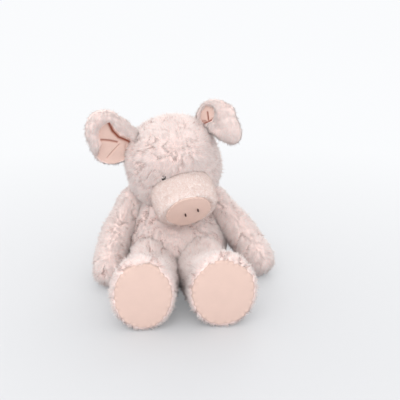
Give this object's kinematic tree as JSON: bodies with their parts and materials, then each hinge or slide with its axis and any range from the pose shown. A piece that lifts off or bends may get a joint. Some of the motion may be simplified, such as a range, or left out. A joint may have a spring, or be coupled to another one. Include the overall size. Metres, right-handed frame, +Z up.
{
  "type": "plush pig",
  "caption": "Seated plush pig with a jointed head, arms, legs, ears and curled tail, suede soles, a flat suede snout and safety eyes.",
  "frame": {"origin": "on the surface that the pig sits on, under the middle of its neck", "axes": "+Z up, -Y the way the pig faces, +X to the pig's left"},
  "size_m": [0.2489, 0.2831, 0.2347],
  "materials": {
    "plush": "tufted pale pink plush",
    "short_plush": "short smooth plush",
    "suede": "fine suede cloth",
    "ear_suede": "fine suede cloth, creased",
    "stuffing": "loose polyester fibre",
    "pouch": "plain woven bag filled with plastic pellets",
    "thread": "dark brown satin stitch",
    "eye": "polished black",
    "washer": "moulded"
  },
  "bodies": {
    "torso": {"body_skin": "plush", "body_stuffing": "stuffing", "seat_pellet_pouch": "pouch"},
    "neck": {"neck_wad": "stuffing"},
    "head": {"head_skin": "plush", "head_stuffing": "stuffing", "muzzle_skin": "short_plush", "muzzle_stuffing": "stuffing", "snout_disc": "suede", "nostril_stitch_left": "thread", "nostril_stitch_right": "thread", "eye_left": "eye", "eye_right": "eye", "eye_washer_left": "washer", "eye_washer_right": "washer"},
    "shoulder_left": {"shoulder_wad_left": "stuffing"},
    "shoulder_right": {"shoulder_wad_right": "stuffing"},
    "arm_left": {"arm_left_skin": "plush", "arm_left_stuffing": "stuffing"},
    "arm_right": {"arm_right_skin": "plush", "arm_right_stuffing": "stuffing"},
    "leg_left": {"leg_left_skin": "plush", "leg_left_stuffing": "stuffing", "sole_left": "suede"},
    "leg_right": {"leg_right_skin": "plush", "leg_right_stuffing": "stuffing", "sole_right": "suede"},
    "ear_left": {"ear_left_cover": "plush", "ear_left_lining": "ear_suede"},
    "ear_right": {"ear_right_cover": "plush", "ear_right_lining": "ear_suede"},
    "tail": {"tail": "plush"}
  },
  "joints": [
    {"name": "neck_turn", "type": "hinge", "parent": "torso", "child": "neck", "pos_m": [0, 0, 0.106], "axis": [0, 0, 1], "range_deg": [-35, 35]},
    {"name": "head_nod", "type": "hinge", "parent": "neck", "child": "head", "pos_m": [0, 0, 0.106], "axis": [-0.9976, -0.0698, 0], "range_deg": [-5, 18]},
    {"name": "arm_swing_left", "type": "hinge", "parent": "torso", "child": "shoulder_left", "pos_m": [0.052, 0, 0.084], "axis": [-1, 0, 0], "range_deg": [0, 50]},
    {"name": "arm_swing_right", "type": "hinge", "parent": "torso", "child": "shoulder_right", "pos_m": [-0.052, 0, 0.084], "axis": [-1, 0, 0], "range_deg": [0, 50]},
    {"name": "arm_spread_left", "type": "hinge", "parent": "shoulder_left", "child": "arm_left", "pos_m": [0.052, 0, 0.084], "axis": [0, 0, 1], "range_deg": [0, 30]},
    {"name": "arm_spread_right", "type": "hinge", "parent": "shoulder_right", "child": "arm_right", "pos_m": [-0.052, 0, 0.084], "axis": [0, 0, -1], "range_deg": [0, 40]},
    {"name": "leg_swing_left", "type": "hinge", "parent": "torso", "child": "leg_left", "pos_m": [0.032, -0.072, 0.033], "axis": [-1, 0, 0], "range_deg": [-18, 20]},
    {"name": "leg_swing_right", "type": "hinge", "parent": "torso", "child": "leg_right", "pos_m": [-0.032, -0.072, 0.033], "axis": [-1, 0, 0], "range_deg": [-18, 20]},
    {"name": "ear_flap_left", "type": "hinge", "parent": "head", "child": "ear_left", "pos_m": [0.04679, -0.01212, 0.18616], "axis": [-0.5076, -0.0103, 0.8616], "range_deg": [-12, 30], "stiffness_Nm_per_rad": 0.008},
    {"name": "ear_flap_right", "type": "hinge", "parent": "head", "child": "ear_right", "pos_m": [-0.05604, -0.02152, 0.16957], "axis": [0.3865, -0.1138, 0.9153], "range_deg": [-12, 22], "stiffness_Nm_per_rad": 0.008},
    {"name": "tail_wag", "type": "hinge", "parent": "torso", "child": "tail", "pos_m": [0, 0.058, 0.042], "axis": [0, 0, 1], "range_deg": [-20, 20], "stiffness_Nm_per_rad": 0.003}
  ]
}
